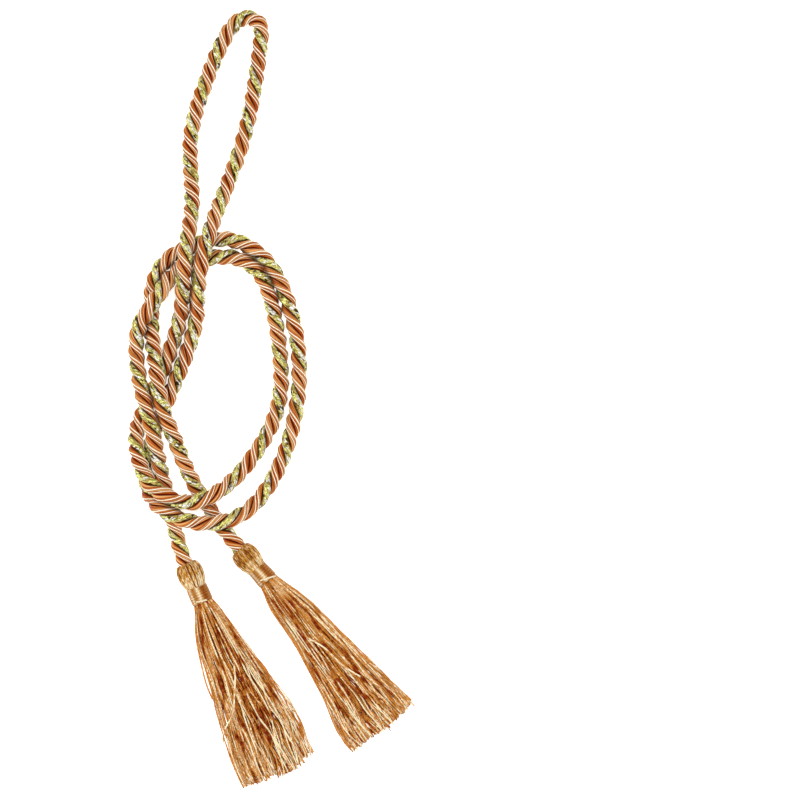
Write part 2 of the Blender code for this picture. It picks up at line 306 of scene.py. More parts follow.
def goldFinish():
    # flattened metal thread, crumpled into small facets that each have their own shade and tilt
    finish = Finish("ropeGold", gold)
    around, along = finish.yarnMap()
    crown = finish.painted("crown")
    facing = finish.painted("facing")
    place = finish.wrapped(around, along, gold["plyRadius"] / gold["cell"], gold["squeezed"] / gold["cell"])
    noise = {"Vector": place, "Scale": gold["wander"], "Detail": 1.0}
    wander = finish.add("ShaderNodeTexNoise", None, noise, "Color")
    bent = finish.vector("ADD", {0: place, 1: wander})
    facets = {"Vector": bent, "Scale": 1.0}
    tilt = finish.add("ShaderNodeTexVoronoi", None, facets, "Color")
    chance = finish.add("ShaderNodeSeparateColor", None, {"Color": tilt}, "Red")
    second = finish.add("ShaderNodeSeparateColor", None, {"Color": tilt}, "Green")
    seam = finish.add("ShaderNodeTexVoronoi", {"feature": "DISTANCE_TO_EDGE"}, facets, "Distance")
    body = finish.mixed(chance.between(*gold["oliveFrom"]), gold["dark"], gold["olive"])
    body = finish.mixed(chance.between(*gold["foilFrom"]), body, gold["foil"])
    body = finish.mixed(second.share(*gold["warmShare"]), body, gold["warm"])
    # painted glint: facets turn white at random, and sooner where the gold faces the front-right lamp
    glint = (chance + facing * gold["facingGlint"]).between(*gold["glintFrom"])
    body = finish.mixed(glint, body, gold["glint"])
    # dark seams between facets, and painted shade down the ply's flanks and where the rope lies against another
    # turn
    clearOfSeamAndShade = seam.between(*gold["seam"]) * crown.between(*gold["shadedFlank"])
    clearOfSeamAndShade = clearOfSeamAndShade * (1 - finish.painted("tucked") * gold["tuckedShare"])
    finish.feed("Base Color", finish.mixed(clearOfSeamAndShade, gold["dark"], body))
    finish.feed("Metallic", chance.share(*gold["metallic"]))
    rough, smoothed = gold["rough"]
    finish.feed("Roughness", rough - chance * smoothed)
    # each facet leans its own way, the ones that shine white the least
    centred = finish.vector("SUBTRACT", {0: tilt, 1: (0.5, 0.5, 0.5)})
    tilted, less = gold["leaning"]
    scaled = finish.vector("SCALE", {0: centred, "Scale": tilted - glint * less})
    out = finish.add("ShaderNodeNewGeometry", None, None, "Normal")
    facet = finish.vector("NORMALIZE", {0: finish.vector("ADD", {0: out, 1: scaled})})
    finish.raised(seam.between(*gold["creaseFrom"]), gold["crease"], gold["creaseStrength"], facet)
    return finish.material


rayon = {
    "roughness": 0.36, "specular": 0.08,
    "twist": 420.0,  # turns of the filaments a metre
    "thread": (1.6, 60.0),
    # the slow change of shade: along a yarn, from yarn to yarn, and how fine it is round and along
    "blend": (19.0, 9.0, 3.0, 400.0),
    "slowShade": 1.4, "ridgeShade": 0.2,  # how far that change, and the painted highlight on the yarn's side out of the bundle, alter the shade
    "middleFrom": (0.02, 0.45), "lightFrom": (0.60, 0.95),
    # painted highlights on filaments, on the lighter yarns alone, and painted shade in the grooves between
    # windings
    "threadLight": (0.0, 0.2), "lighter": (0.3, 0.8), "threadShare": 0.5, "grooveShare": (0.2, 1.0, 0.3),
    "relief": 0.0001, "reliefStrength": 0.9, "threadRelief": 0.6, "grooveRelief": 0.7,
}
tasselColours = {"dark": (0.25, 0.022, 0.0005), "middle": (0.64, 0.262, 0.038), "light": (1.0, 0.86, 0.56)}
headColours = {"dark": (0.19, 0.042, 0.002), "middle": (0.59, 0.275, 0.038), "light": (1.0, 0.86, 0.56)}


def yarnFinish(name, colours):
    # twisted rayon: each yarn has its own shade, and its filaments wind round it, with painted highlights and
    # painted shade in its grooves
    finish = Finish(name, rayon)
    around, along = finish.yarnMap()
    shade = finish.painted("shade")
    winding = around * 2 + along * rayon["twist"]
    groove = (winding * tau).sine()
    thread = finish.fibres(winding * 0.5, along, *rayon["thread"])
    lengthwise, between, fine, stretch = rayon["blend"]
    slow = finish.fibres(along * lengthwise + shade * between, shade, fine, stretch)
    # painted highlight and shade: the ridge attribute lightens a yarn's outward side and darkens its inner side
    tone = shade + (slow - 0.5) * rayon["slowShade"] + finish.painted("ridge") * rayon["ridgeShade"]
    body = finish.mixed(tone.between(*rayon["middleFrom"]), colours["dark"], colours["middle"])
    body = finish.mixed(tone.between(*rayon["lightFrom"]), body, colours["light"])
    # painted highlight: filaments that catch the light, on the lighter yarns
    caught = (thread - 0.5).between(*rayon["threadLight"]) * tone.between(*rayon["lighter"])
    body = finish.mixed(caught * rayon["threadShare"], body, colours["light"])
    # painted shade in the grooves between windings
    body = finish.mixed(groove.share(*rayon["grooveShare"]), body, colours["dark"])
    finish.feed("Base Color", body)
    height = thread * rayon["threadRelief"] - groove * rayon["grooveRelief"]
    finish.raised(height, rayon["relief"], rayon["reliefStrength"])
    return finish.material


def unit(vectors):
    # each vector divided by its length
    return vectors / np.linalg.norm(vectors, axis=-1, keepdims=True)


def curveThrough(knots, values, at):
    # natural cubic spline: a cubic between each two knots, with slope and bend the same on both sides of a knot
    gaps = np.diff(knots)
    inner = np.arange(1, len(knots) - 1)
    system = np.eye(len(knots))
    system[inner, inner - 1] = gaps[:-1]
    system[inner, inner] = 2 * (gaps[:-1] + gaps[1:])
    system[inner, inner + 1] = gaps[1:]
    known = np.zeros_like(values)
    known[1:-1] = 6 * np.diff(np.diff(values, axis=0) / gaps[:, None], axis=0)
    bends = np.linalg.solve(system, known)
    k = np.clip(np.searchsorted(knots, at, side="right") - 1, 0, len(gaps) - 1)
    gap = gaps[k][..., None]
    b = (at - knots[k])[..., None] / gap
    a = 1 - b
    bending = (a ** 3 - a) * bends[k] + (b ** 3 - b) * bends[k + 1]
    return a * values[k] + b * values[k + 1] + bending * gap ** 2 / 6


def distances(points):
    # how far each point is from the first, walked from point to point
    return np.append(0, np.cumsum(np.linalg.norm(np.diff(points, axis=0), axis=1)))


def laidOut(points, spacing, fineSteps=12000):
    # even steps along the spline through the points, measured by distance walked
    knots = distances(points)
    fine = curveThrough(knots, points, np.linspace(0, knots[-1], fineSteps))
    walked = distances(fine)
    steps = np.linspace(0, walked[-1], round(walked[-1] / spacing) + 1)
    return steps, np.stack([np.interp(steps, walked, fine[:, axis]) for axis in range(3)], axis=1)


def sectionFrames(centres, lift):
    # unit vectors at every point of many paths: to the side, and up, which leans the way lift points
    along = unit(np.gradient(centres, axis=-2))
    side = unit(np.cross(along, lift))
    return side, np.cross(side, along)


def tubePoints(centres, side, up, halfThick, halfWide, around, turn=0.0):
    # centre + up * thick * cos(angle) + side * wide * sin(angle), the section turned by `turn` first
    angle = np.arange(around) / around * tau
    thick = np.asarray(halfThick)[..., None] * np.cos(angle)
    wide = np.asarray(halfWide)[..., None] * np.sin(angle)
    turn = np.asarray(turn)[..., None]
    rise = thick * np.cos(turn) - wide * np.sin(turn)
    reach = thick * np.sin(turn) + wide * np.cos(turn)
    return centres[..., None, :] + up[..., None, :] * rise[..., None] + side[..., None, :] * reach[..., None]


def makePiece(name, points, lengths, finish, slotName, **painted):
    # points is tubes x stations x around x 3; quads join the stations, and one face closes each end.
    # What would sink below the floor lies flat on it
    points = points.copy()
    points[..., 2] = np.maximum(points[..., 2], 0)
    count, stations, around = points.shape[:3]
    first = (np.arange(count) * stations * around)[:, None, None]
    corner = first + (np.arange(stations - 1) * around)[:, None] + np.arange(around)
    following = first + (np.arange(stations - 1) * around)[:, None] + np.roll(np.arange(around), -1)
    quads = np.stack([corner, following, following + around, corner + around], axis=-1)
    ring = first[:, 0] + np.arange(around)
    faces = [quads.reshape(-1, 4), ring[:, ::-1], ring + (stations - 1) * around]

    u = np.arange(around) / around
    v = np.broadcast_to(lengths, (count, stations))
    low, high = v[:, :-1, None], v[:, 1:, None]
    corners = [(u, low), (u + 1 / around, low), (u + 1 / around, high), (u, high)]
    uv = np.stack([np.stack(np.broadcast_arrays(a, b), axis=-1) for a, b in corners], axis=-2).reshape(-1, 2)
    ends = np.repeat(np.stack([v[:, 0] * 0, v[:, 0]], axis=-1), around, axis=0)
    tips = np.repeat(np.stack([v[:, 0] * 0, v[:, -1]], axis=-1), around, axis=0)

    mesh = bpy.data.meshes.new(name)
    loops = np.concatenate([block.ravel() for block in faces]).astype(np.int32)
    sizes = np.concatenate([np.full(len(block), block.shape[1]) for block in faces])
    mesh.vertices.add(count * stations * around)
    mesh.vertices.foreach_set("co", points.astype(np.float32).ravel())
    mesh.loops.add(len(loops))
    mesh.loops.foreach_set("vertex_index", loops)
    mesh.polygons.add(len(sizes))
    mesh.polygons.foreach_set("loop_start", (np.cumsum(sizes) - sizes).astype(np.int32))
    mesh.update(calc_edges=True)
    placesOnYarn = np.concatenate([uv, ends, tips]).astype(np.float32)
    mesh.uv_layers.new(name="yarn").uv.foreach_set("vector", placesOnYarn.ravel())
    for label, values in painted.items():
        full = np.broadcast_to(values, points.shape[:3]).astype(np.float32)
        mesh.attributes.new(label, "FLOAT", "POINT").data.foreach_set("value", full.ravel())
    mesh.shade_smooth()
    mesh.materials.append(finish)
    piece = bpy.data.objects.new(name, mesh)
    bpy.context.scene.collection.objects.link(piece)
    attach(piece, "root")
    print(f"{name}: {sum(len(block) * (block.shape[1] - 2) for block in faces)} triangles")
    return piece


# the rope's middle, from inside the left tassel's head to inside the right one's, in metres
ropeRoute = [
    (-0.03563, -0.07466, 0.0056), (-0.03831, -0.06852, 0.0056), (-0.04, -0.0635, 0.0042),
    (-0.044, -0.0475, 0.0035), (-0.0468, -0.0351, 0.0049), (-0.0498, -0.02, 0.01085), (-0.0528, -0.0075, 0.01155),
    (-0.0563, 0.006, 0.0105), (-0.0584, 0.0225, 0.00735), (-0.0561, 0.034, 0.0098), (-0.0511, 0.0412, 0.01155),
    (-0.046, 0.0495, 0.0091),
    # first turn of the rings, the inner one
    (-0.0394, 0.0573, 0.0035), (-0.026, 0.062, 0.0035), (-0.0122, 0.0612, 0.0035), (-0.0042, 0.0548, 0.0035),
    (0.0009, 0.0424, 0.0035), (0.0045, 0.0205, 0.0035), (0.0042, -0.0005, 0.0035), (-0.005, -0.022, 0.0035),
    (-0.017, -0.0365, 0.00525), (-0.0255, -0.0425, 0.0105), (-0.035, -0.0454, 0.01155), (-0.0435, -0.043, 0.014),
    (-0.0514, -0.0378, 0.0126), (-0.0575, -0.025, 0.0105), (-0.0583, -0.0135, 0.00595), (-0.0527, 0, 0.0035),
    # up one leg of the hook loop, round its top and down the other
    (-0.0441, 0.0205, 0.0035), (-0.0388, 0.0385, 0.00525), (-0.0375, 0.0515, 0.0112), (-0.036, 0.068, 0.01155),
    (-0.0341, 0.0855, 0.0056), (-0.0348, 0.114, 0.0035), (-0.0285, 0.1385, 0.0035), (-0.0202, 0.1581, 0.0035),
    (-0.016, 0.1645, 0.0035), (-0.0098, 0.168, 0.0035), (-0.0046, 0.1653, 0.0035), (-0.0038, 0.1583, 0.0035),
    (-0.0063, 0.1395, 0.0035), (-0.0115, 0.1145, 0.0035), (-0.018, 0.096, 0.0035), (-0.024, 0.0795, 0.00945),
    (-0.0285, 0.0645, 0.01155), (-0.0309, 0.0505, 0.0098), (-0.0322, 0.0355, 0.0035), (-0.0363, 0.0206, 0.0035),
    (-0.043, 0.004, 0.0035), (-0.0523, -0.0205, 0.0035), (-0.0545, -0.032, 0.0035), (-0.052, -0.043, 0.00665),
    # second turn, the outer one
    (-0.0456, -0.0492, 0.0112), (-0.0345, -0.0537, 0.0112), (-0.021, -0.054, 0.01134), (-0.0086, -0.0481, 0.0056),
    (0.0026, -0.0331, 0.0035), (0.0109, -0.0092, 0.0035), (0.013, 0.018, 0.0035), (0.0076, 0.0441, 0.0035),
    (-0.0032, 0.0627, 0.0035), (-0.019, 0.0704, 0.0035), (-0.033, 0.0678, 0.0035), (-0.0454, 0.061, 0.0035),
    # down to the right tassel
    (-0.0515, 0.0495, 0.0035), (-0.052, 0.0355, 0.0035), (-0.0515, 0.026, 0.00595), (-0.0495, 0.0135, 0.01085),
    (-0.0473, -0.0016, 0.01176), (-0.0422, -0.0157, 0.0091), (-0.0337, -0.0364, 0.0035),
    (-0.0238, -0.0521, 0.0035), (-0.0182, -0.0598, 0.00462), (-0.0156, -0.0628, 0.0056),
    (-0.01147, -0.06794, 0.0056),
]

# how far along the rope the gold ply comes to the top, one full turn of the plies apart, in mm
goldOnTop = [
    13.1, 31.6, 50.1, 69.1, 89.1, 109.1, 128.1, 145.6, 163.6, 184.0, 203.1, 222.1, 241.6, 260.6, 281.3,
    304.6, 327.1, 343.1, 359.6, 379.6, 398.6, 418.6, 436.6, 456.1, 473.1, 491.0, 508.2, 525.6, 543.8, 560.6,
    579.0, 597.2, 617.0, 635.0, 653.4, 675.6, 696.4, 716.2, 735.0, 753.0, 770.4, 790.1, 812.1, 836.0, 856.1,
    877.0, 898.0, 919.9, 940.8, 960.0, 979.6, 999.1, 1017.6, 1035.6, 1055.1, 1076.5, 1095.6, 1117.6,
]

rope = {
    "diameter": 0.007,
    "lay": 0.0194,  # one full turn of the three plies, beyond the ends of the list
    "plyOut": 0.00197,  # a ply's middle from the rope's
    "plyThick": 0.00162,  # half its section, towards the rope's middle
    "plyWide": 0.00186,  # half its section, along the rope's outside
    "spacing": 0.001,
    "ownTurn": 0.03,  # what is nearer than this along the rope isn't another turn
    "tuckedFrom": (0.0040, 0.0053),  # painted shade against another turn, by distance from that turn's middle: touching it, and clear of it
    "sides": {"satin": 40, "gold": 24, "highlightYarn": 6},
    # painted glints: where the gold looks, towards the front-right lamp, when it is painted shining white, how
    # squarely it has to look there, and how slowly the shine comes
    "shineTo": (0.52, -0.40, 0.75), "shineBand": (0.72, 0.24),
    "highlightLean": 25.0,  # how far the pair of pale highlight yarns keeps from its ply's crown, in degrees
    "highlightApart": 31.0,  # each yarn of a pair from the pair's middle, in degrees
    # painted highlight: the highlight yarns keep to the ply's side towards the lower-left light
    "highlightToward": (-0.707, -0.707, 0.0),
    # the pairs drift by degrees to and fro, over a length, and the two plies are this far out of step
    "highlightDrift": (9.0, 0.17, 2.1),
    "highlightRadius": (0.00027, 0.00019),
    "highlightFlat": 0.75,
    "highlightProud": 1.02,  # the highlight yarns' middles against the ply's own size
    "sinking": (0.00072, 0.00028),  # beside a highlight yarn the satin sinks, and is painted in shade, from here, and fully after this
}


def pliesTurned(steps):
    # how far the gold ply has turned from the top, in radians: a spline through the places where it is on top
    lay = 1000 * rope["lay"]
    knots = np.array([goldOnTop[0] - lay, *goldOnTop, goldOnTop[-1] + lay]) * mm
    turns = np.arange(len(knots), dtype=float)
    return -tau * curveThrough(knots, turns[:, None], steps)[:, 0]


def plySection(turned, thick, wide, frames, centres, angle):
    # a point of an oval section at `angle` from the ply's crown, the ply being wound round the rope by `turned`,
    # and how near the crown it is, 1 on it and -1 opposite
    side, up = frames
    rise = rope["plyOut"] + thick * np.cos(angle)
    reach = wide * np.sin(angle)
    upward = rise * np.cos(turned) - reach * np.sin(turned)
    sideward = rise * np.sin(turned) + reach * np.cos(turned)
    point = centres + up * upward[..., None] + side * sideward[..., None]
    return point, np.cos(angle)


def highlightYarnPlaces(steps, side):
    # how far from its ply's crown each highlight yarn lies, in radians, for two plies of two yarns: as a painted
    # highlight the pair keeps to the ply's side towards the lower-left light, so it changes over where the rope
    # turns round, and it drifts a little
    heading = np.clip(1.5 * (side @ np.array(rope["highlightToward"])), -1, 1)
    plies = np.array([1, 1, 2, 2])[:, None]
    member = np.array([-1, 1, -1, 1])[:, None]
    swing, length, step = rope["highlightDrift"]
    drift = swing * np.sin(steps * tau / length + plies * step)
    place = np.radians(heading * rope["highlightLean"] + member * rope["highlightApart"] + drift)
    # the yarn nearer the crown is the thicker one
    inner = 0.5 - 0.5 * member * np.clip(heading * 3, -1, 1)
    return plies, place, inner


def turnsBeside(path):
    # for every step of the rope the nearest step of another of its turns, and the nearest one on its other side
    towards = path - path[:, None]
    apart = np.linalg.norm(towards, axis=2)
    order = np.arange(len(path))
    apart[np.abs(order[:, None] - order) * rope["spacing"] < rope["ownTurn"]] = np.inf
    first = apart.argmin(axis=1)
    across = np.einsum("ijk,ik->ij", towards, towards[order, first])
    facing = np.where(across < 0, apart, np.inf)
    return first, np.where(np.isfinite(facing.min(axis=1)), facing.argmin(axis=1), first)


def tuckedIn(points, path, beside):
    # painted shade: 1 where the rope lies against another of its turns, measured square to that turn's middle, 0
    # clear of it
    along = unit(np.gradient(path, axis=0))
    touching, clear = rope["tuckedFrom"]
    nearest = np.inf
    for other in beside:
        gap = points - path[other][:, None]
        line = along[other][:, None]
        gap = gap - line * (gap * line).sum(axis=-1, keepdims=True)
        close = np.linalg.norm(path[other] - path, axis=1)[:, None] < 2 * clear
        nearest = np.minimum(nearest, np.where(close, np.linalg.norm(gap, axis=-1), np.inf))
    return np.clip((clear - nearest) / (clear - touching), 0, 1)


def makeRope():
    # three plies round one path, each an oval section that keeps its own third of the turn, and on two of them a
    # pair of pale yarns that stand in for painted highlights: tubes whose middles lie on the ply's surface
    steps, path = laidOut(np.array(ropeRoute), rope["spacing"])
    beside = turnsBeside(path)
    side, up = sectionFrames(path, (0, 0, 1))
    turned = pliesTurned(steps)
    plies, places, inner = highlightYarnPlaces(steps, side)
    sides, size = rope["sides"], (rope["plyThick"], rope["plyWide"])

    def ply(number, around):
        theta = (turned + number * tau / 3)[:, None]
        angle = np.arange(around) / around * tau
        frames = (side[:, None], up[:, None])
        return plySection(theta + angle * 0, *size, frames, path[:, None], angle + theta * 0)

    def besideHighlight(number, around):
        # 1 close to a highlight yarn, where the satin sinks under it and is painted in shade, and 0 clear of it
        angle = np.arange(around) / around * tau
        away = np.abs(np.sin((angle - places[plies[:, 0] == number][..., None]) / 2)) * 2 * rope["plyWide"]
        begins, over = rope["sinking"]
        return np.clip((begins - away.min(axis=0)) / over, 0, 1)

    satinPlies = [ply(number, sides["satin"]) for number in (1, 2)]
    satinPoints = np.stack([points for points, _ in satinPlies])
    satinPly = makePiece("rope_satin", satinPoints, steps, satinFinish(), "rope",
                         crown=np.stack([crown for _, crown in satinPlies]),
                         beside=np.stack([besideHighlight(number, sides["satin"]) for number in (1, 2)]),
                         tucked=np.stack([tuckedIn(points, path, beside) for points, _ in satinPlies]))

    golden, crown = ply(0, sides["gold"])
    # painted highlight: facing is 1 where the gold ply looks towards the front-right lamp
    wound = turned[:, None] + np.arange(sides["gold"]) / sides["gold"] * tau
    looking = side[:, None] * np.sin(wound)[..., None] + up[:, None] * np.cos(wound)[..., None]
    squarely, slowly = rope["shineBand"]
    facing = np.clip((looking @ rope["shineTo"] - squarely) / slowly, 0, 1)
    goldPly = makePiece("rope_gold", golden[None], steps, goldFinish(), "rope", crown=crown[None],
                        facing=facing[None], tucked=tuckedIn(golden, path, beside)[None])

    theta = turned + plies * tau / 3
    thick, wide = (half * rope["highlightProud"] for half in size)
    centres, _ = plySection(theta, thick, wide, (side, up), path, places)
    plyMiddle = path + rope["plyOut"] * (up * np.cos(theta)[..., None] + side * np.sin(theta)[..., None])
    yarnSide, yarnUp = sectionFrames(centres, centres - plyMiddle)
    thicker, thinner = rope["highlightRadius"]
    radius = thinner + (thicker - thinner) * inner
    yarns = tubePoints(centres, yarnSide, yarnUp, radius * rope["highlightFlat"], radius, sides["highlightYarn"])
    highlightYarns = makePiece("rope_highlight_yarns", yarns, steps, highlightYarnFinish(), "rope",
                           tucked=tuckedIn(centres[:, :, None], path, beside))

    for piece in (satinPly, goldPly, highlightYarns):
        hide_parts("cord")
    print(f"rope laid, {steps[-1]:.4f} m long")


makeRope()


# the neck's end in metres, the rest in millimetres from it, and turns in degrees. An outline's row holds the
# distance along, the reach to one side and to the other, half the thickness and the height of the middle. An end's
# row holds a place across the skirt, -1 to 1, and how long the yarns are there. A yarn that lies over the others
# is points along, across and up from the floor
tassels = {
    "left": {
        "neck": (-0.0291, -0.0896), "skirtTurn": -67.1, "headTurn": -66.4, "seed": 4,
        "headShade": 0.46,  # of the head's yarns: 0 dark, 1 light
        "cleftShade": 0.75,  # painted shade: how dark the clefts between the skirt's locks are
        "gathered": (4.0, 0.0, 0.0),  # the pale place under the binding: along, across, and how pale
        "bindingRadius": (4.45, 4.5),
        "crossing": ((-1.5, -1.9), (-0.7, 2.1)),  # the thread's end lies over the binding between these places
        "outline": [
            (-3.0, 3.2, 3.2, 3.2, 5.6), (0.0, 4.3, 4.4, 4.3, 5.4), (4.0, 5.8, 6.0, 4.6, 5.0),
            (10, 8.3, 7.5, 4.6, 4.5), (20, 10.8, 10.0, 4.3, 4.3), (33, 11.7, 13.3, 4.0, 4.0),
            (47.5, 13.7, 16.7, 3.7, 3.7), (61, 15.3, 19.3, 3.4, 3.4), (72, 16.1, 19.4, 3.2, 3.2),
            (88, 15.1, 19.4, 3.0, 3.0),
        ],
        "ends": [
            (-1.03, 77.4), (-0.95, 82.3), (-0.76, 82.6), (-0.48, 82.5), (-0.37, 83.7), (-0.21, 79.9),
            (-0.04, 82.8), (0.07, 84.6), (0.29, 84.0), (0.48, 83.6), (0.62, 81.5), (0.71, 76.5), (0.76, 81.1),
            (1.0, 80.8),
        ],
        "over": [
            [(30, 2.0, 7.4), (35.5, 0.4, 7.6), (42.8, -3.1, 7.5), (49.8, -6.8, 7.0), (56, -13.8, 4.0),
             (60, -16.0, 1.4)],
            [(7.7, -7.2, 3.2), (13.9, -9.3, 2.6), (24.9, -11.6, 2.2), (35.2, -13.1, 1.6), (41, -13.1, 1.0)],
        ],
    },
    "right": {
        "neck": (-0.0005, -0.0800), "skirtTurn": -52.9, "headTurn": -47.7, "seed": 9,
        "headShade": 0.34, "cleftShade": 1.0, "gathered": (5.5, 2.0, 0.85),
        "bindingRadius": (4.15, 4.5), "crossing": ((-2.2, -1.6), (0.5, 3.9)),
        "outline": [
            (-3.0, 3.2, 3.2, 3.2, 5.6), (0.0, 4.3, 4.3, 4.3, 5.4), (4.0, 5.3, 5.5, 4.5, 5.0),
            (10, 7.0, 7.5, 4.5, 4.4), (20, 7.7, 10.2, 4.3, 4.3), (33, 8.8, 11.9, 4.0, 4.0),
            (47.5, 11.2, 13.8, 3.7, 3.7), (61, 13.8, 16.2, 3.4, 3.4), (72, 16.6, 18.2, 3.2, 3.2),
            (88, 15.9, 19.0, 3.0, 3.0),
        ],
        "ends": [
            (-1.06, 80.8), (-0.93, 82.3), (-0.82, 83.6), (-0.51, 82.6), (-0.04, 83.0), (0.06, 84.2),
            (0.18, 82.9), (0.20, 86.0), (0.22, 82.9), (0.40, 83.0), (0.59, 82.9), (0.86, 81.5), (0.98, 83.8),
            (1.06, 82.6),
        ],
        "over": [
            [(22, -3.0, 7.6), (30, -1.2, 7.7), (38, 2.0, 7.6), (47, 3.4, 7.3), (58, 7.0, 6.6)],
        ],
    },
}

skirt = {
    "yarns": 262, "stations": 68, "sides": 5, "halfWide": (0.30, 0.49), "halfThick": (0.22, 0.32),
    "goldenAngle": 2.39996, "jitter": 0.2, "filled": 0.94,
    "crowding": 0.88,  # under 1 the yarns lie a little closer together at the skirt's sides
    "root": 0.003,  # the yarns start this far inside the binding
    "ragged": 0.0012,
    # a yarn's slow waves across the skirt and up: how far, how many, and which of its random numbers they take
    "sway": [(0.08, 6, 0), (0.05, 15, 1), (0.016, 34, 4)],
    "lift": [(0.09, 7, 2), (0.05, 17, 3)],
    "stray": 0.08, "calmSides": 0.75,
    "twistLength": 0.011,
    "flatPower": 3.2,  # 2 keeps the underside round, and more makes it square
    "flatFrom": 0.007,  # how far along the underside is all square
}
skirtLooks = {
    "shade": (0.66, 0.24),  # the yarns' middle shade, and how far they differ
    "deepShade": 1.4,  # painted shade: how much darker the bundle's middle is
    "gathered": (0.72, 5.0, 3.2),  # the pale place's shade, and its reach along and across, in mm
    # the locks between clefts of painted shade across the skirt, how they wander, and how the clefts open and
    # close along it
    "locks": (17.0, 1.7, 0.0046), "opening": (0.0041, 8.0),
    "open": (0.75, 0.06, 0.014),  # the cut ends are this much more open to the light, from here, over this
    "shadeUnderBinding": (0.16, 0.016),  # painted shade: how much darker close under the binding, and how far
    "edge": (0.45, 0.78, 0.12),  # the outer edges are at least this light, from here, over this
}
overYarn = {"spacing": 0.001, "halfWide": 0.00042, "flat": 0.6, "sides": 6, "shade": 0.85, "fade": 0.35}


def placed(tassel, turn, along, across, up):
    # turns distances along and across about +Z and starts them from the end of the tassel's neck
    c, s = math.cos(math.radians(turn)), math.sin(math.radians(turn))
    x, y = tassel["neck"]
    return np.stack(np.broadcast_arrays(x + along * c - across * s, y + along * s + across * c, up), axis=-1)


def layDown(tassel, u, v, along):
    # a place in a round bundle, u across and v up, carried onto the skirt's lying outline, square underneath
    rows = np.array(tassel["outline"]) * mm
    minus, plus, thick, middle = np.moveaxis(curveThrough(rows[:, 0], rows[:, 1:], along), -1, 0)
    reach = np.hypot(u, v)
    power = skirt["flatPower"]
    squared = (np.abs(u) ** power + np.abs(v) ** power) ** (1 / power)
    flattening = np.clip(along / skirt["flatFrom"], 0, 1)
    scale = np.where(v < 0, 1 + flattening * (reach / np.maximum(squared, 1e-6) - 1), 1)
    u, v = u * scale, v * scale
    return u * np.where(u > 0, plus, minus), middle + v * thick


def waves(rows, part, phase, swing):
    # the sum of size * sin(part * pace + the yarn's own phase) * the yarn's own swing
    return sum(size * np.sin(part * pace + phase[k]) * swing[k] for size, pace, k in rows)


def skirtShade(own, tassel, u, v, along, across, phase):
    # each yarn's own shade, with painted shade darker in the bundle's depth, in the clefts between locks and close
    # under the binding, and light at the outer edges and in the gathered place
    depth = np.clip(1 - np.hypot(u, v), 0, 1)
    place, aside, paleness = tassel["gathered"]
    pale, long, broad = skirtLooks["gathered"]
    away = ((along / mm - place) / long) ** 4 + ((across / mm - aside) / broad) ** 4
    gathered = np.exp(-away) * (v > 0.2)
    count, wander, pace = skirtLooks["locks"]
    locks = np.sin(u * count + wander * np.sin(along / pace + phase[0]) + phase[1])
    pace, slant = skirtLooks["opening"]
    opening = np.sin(along / pace + u * slant + phase[2])
    # painted shadow in the clefts between locks
    shadow = np.clip((locks - 0.3) / 0.5, 0, 1) * np.clip(opening + 0.4, 0, 1)
    amount, begins, over = skirtLooks["open"]
    fading = 1 - amount * np.clip((along - begins) / over, 0, 1)
    deepShade = skirtLooks["deepShade"] * np.clip(depth - 0.05, 0, 1) * fading
    shade = own.normal(*skirtLooks["shade"], (len(u), 1)) - deepShade - tassel["cleftShade"] * shadow * fading
    amount, reach = skirtLooks["shadeUnderBinding"]
    shade = shade - amount * np.exp(-((along / reach) ** 2))
    least, begins, over = skirtLooks["edge"]
    shade = np.maximum(shade, least * np.clip((np.abs(u) - begins) / over, 0, 1) * (v > -0.5))
    return shade + (pale - shade) * paleness * gathered


